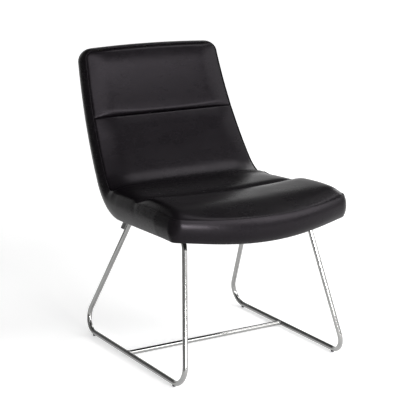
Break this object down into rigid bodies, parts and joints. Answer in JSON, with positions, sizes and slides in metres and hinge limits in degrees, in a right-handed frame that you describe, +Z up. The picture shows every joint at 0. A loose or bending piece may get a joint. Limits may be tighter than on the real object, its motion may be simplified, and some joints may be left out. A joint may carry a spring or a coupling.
{
  "type": "upholstered lounge chair on a rod sled base",
  "caption": "Armless lounge chair: dark leather one-piece seat and back with channelled padding, on a sled base of bent chromed rod.",
  "frame": {"origin": "on the floor, under the middle of the chair's overall width and depth", "axes": "+Z up; the front of the seat faces -Y; +X to the right as seen by someone looking at the chair from the front"},
  "size_m": [0.552, 0.6948, 0.8167],
  "materials": {
    "chrome_rod": "polished chrome plate",
    "glide_plastic": "moulded matte plastic",
    "zinc_steel": "zinc plated",
    "birch_plywood": "raw moulded birch veneer",
    "foam": "cut upholstery foam",
    "leather": "smooth dark brown-grey leather, soft sheen",
    "base_cloth": "black woven dust cloth"
  },
  "bodies": {
    "root": {"left_side_loop": "chrome_rod", "right_side_loop": "chrome_rod", "floor_stretcher": "chrome_rod", "front_cross_rail": "chrome_rod", "rear_cross_rail": "chrome_rod", "front_left_plate": "chrome_rod", "front_right_plate": "chrome_rod", "rear_left_bracket": "chrome_rod", "rear_right_bracket": "chrome_rod", "front_left_glide": "glide_plastic", "front_right_glide": "glide_plastic", "rear_left_glide": "glide_plastic", "rear_right_glide": "glide_plastic", "plate_screws": "zinc_steel", "t_nuts": "zinc_steel", "plywood_shell": "birch_plywood", "front_edge_foam": "foam", "seat_foam": "foam", "back_foam": "foam", "seat_front_panel": "leather", "seat_rear_panel": "leather", "back_lower_panel": "leather", "back_upper_panel": "leather", "front_border": "leather", "left_side_border": "leather", "right_side_border": "leather", "top_border": "leather", "seat_underside_cover": "base_cloth", "outer_back_cover": "leather"}
  },
  "joints": []
}
